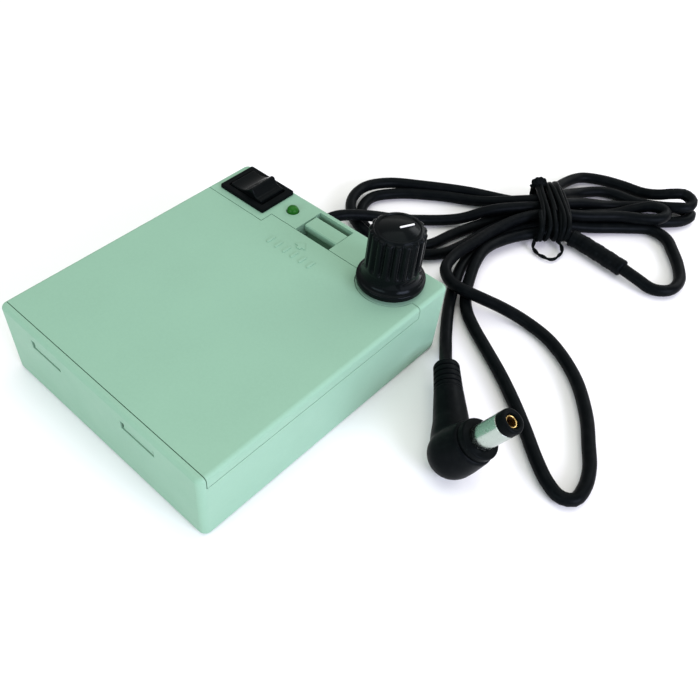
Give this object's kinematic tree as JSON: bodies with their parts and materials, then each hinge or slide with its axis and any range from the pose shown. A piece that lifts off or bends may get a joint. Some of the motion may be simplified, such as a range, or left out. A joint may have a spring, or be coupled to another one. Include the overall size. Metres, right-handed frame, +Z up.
{
  "type": "model train set controller",
  "caption": "Battery-box speed controller for a model train set, with a hinged battery cover, sprung latch, direction rocker, speed knob, lamp and a tied-up lead with an angled barrel plug.",
  "frame": {"origin": "middle of the case's underside", "axes": "+X right along the front edge seen from the front, +Y from the front wall to the control band, +Z up"},
  "size_m": [0.1135, 0.17, 0.0345],
  "materials": {
    "shell_plastic": "pale grey-green moulded plastic, very fine texture, satin",
    "nickel": "nickel-plated steel",
    "contact_nickel": "nickel-plated spring steel",
    "cell_can": "dark printed wrap on a metal can, satin",
    "black_matte": "black moulded plastic, matte",
    "black_gloss": "black moulded plastic, polished",
    "brass": "plain brass",
    "led_green": "clear green lamp lens, polished",
    "pointer_white": "white paint filled in a slot",
    "circuit_board": "green solder resist on board",
    "capacitor_sleeve": "shrunk plastic sleeve",
    "wire_red": "red insulation",
    "wire_black": "black insulation",
    "cord_vinyl": "soft black cord jacket and moulding, satin",
    "tie_wire": "black plastic-covered wire",
    "plug_metal": "nickel-plated, turned and polished"
  },
  "bodies": {
    "case": {"base_plate": "shell_plastic", "base_screw_left": "nickel", "base_screw_right": "nickel", "board_capacitor": "capacitor_sleeve", "board_choke": "black_matte", "board_transistor": "black_matte", "case_body": "shell_plastic", "cell_1": "cell_can", "cell_2": "cell_can", "cell_3": "cell_can", "cell_4": "cell_can", "circuit_board": "circuit_board", "contact_plate_left_1": "contact_nickel", "contact_plate_left_2": "contact_nickel", "contact_plate_right_1": "contact_nickel", "contact_plate_right_2": "contact_nickel", "contact_plate_right_3": "contact_nickel", "contact_spring_1": "contact_nickel", "contact_spring_2": "contact_nickel", "contact_spring_3": "contact_nickel", "contact_spring_4": "contact_nickel", "cord_gland": "cord_vinyl", "cord_hank": "cord_vinyl", "cord_lead_out": "cord_vinyl", "cord_long_loop": "cord_vinyl", "cord_plug_lead": "cord_vinyl", "cord_side_loop": "cord_vinyl", "cord_sleeve": "cord_vinyl", "led_lamp": "led_green", "led_lead_long": "nickel", "led_lead_short": "nickel", "plug_barrel": "plug_metal", "plug_body": "cord_vinyl", "plug_contact": "brass", "plug_tip": "black_matte", "pot_body": "black_matte", "pot_bushing": "brass", "pot_nut": "nickel", "pot_terminal_1": "brass", "pot_terminal_2": "brass", "pot_terminal_3": "brass", "pot_washer": "nickel", "switch_housing": "black_matte", "switch_terminal_1": "brass", "switch_terminal_2": "brass", "switch_terminal_3": "brass", "twist_tie": "tie_wire", "wire_battery_minus": "wire_black", "wire_battery_plus": "wire_red", "wire_output": "wire_black", "wire_switch": "wire_black"},
    "cover": {"battery_cover": "shell_plastic"},
    "latch": {"cover_latch": "shell_plastic"},
    "rocker": {"switch_rocker": "black_gloss"},
    "knob": {"knob_body": "black_gloss", "knob_pointer": "pointer_white", "pot_shaft": "nickel"}
  },
  "joints": [
    {"name": "cover_hinge", "type": "hinge", "parent": "case", "child": "cover", "pos_m": [0, -0.0353, 0.0193], "axis": [1, 0, 0], "range_deg": [0, 100]},
    {"name": "latch_flex", "type": "hinge", "parent": "cover", "child": "latch", "pos_m": [0, 0.0298, 0.0109], "axis": [1, 0, 0], "range_deg": [0, 12], "stiffness_Nm_per_rad": 0.02},
    {"name": "rocker_tilt", "type": "hinge", "parent": "case", "child": "rocker", "pos_m": [-0.0223, 0.0307, 0.0183], "axis": [0, 1, 0], "range_deg": [-12, 12]},
    {"name": "knob_turn", "type": "hinge", "parent": "case", "child": "knob", "pos_m": [0.0222, 0.0284, 0.0193], "axis": [0, 0, 1], "range_deg": [-121, 179]}
  ]
}
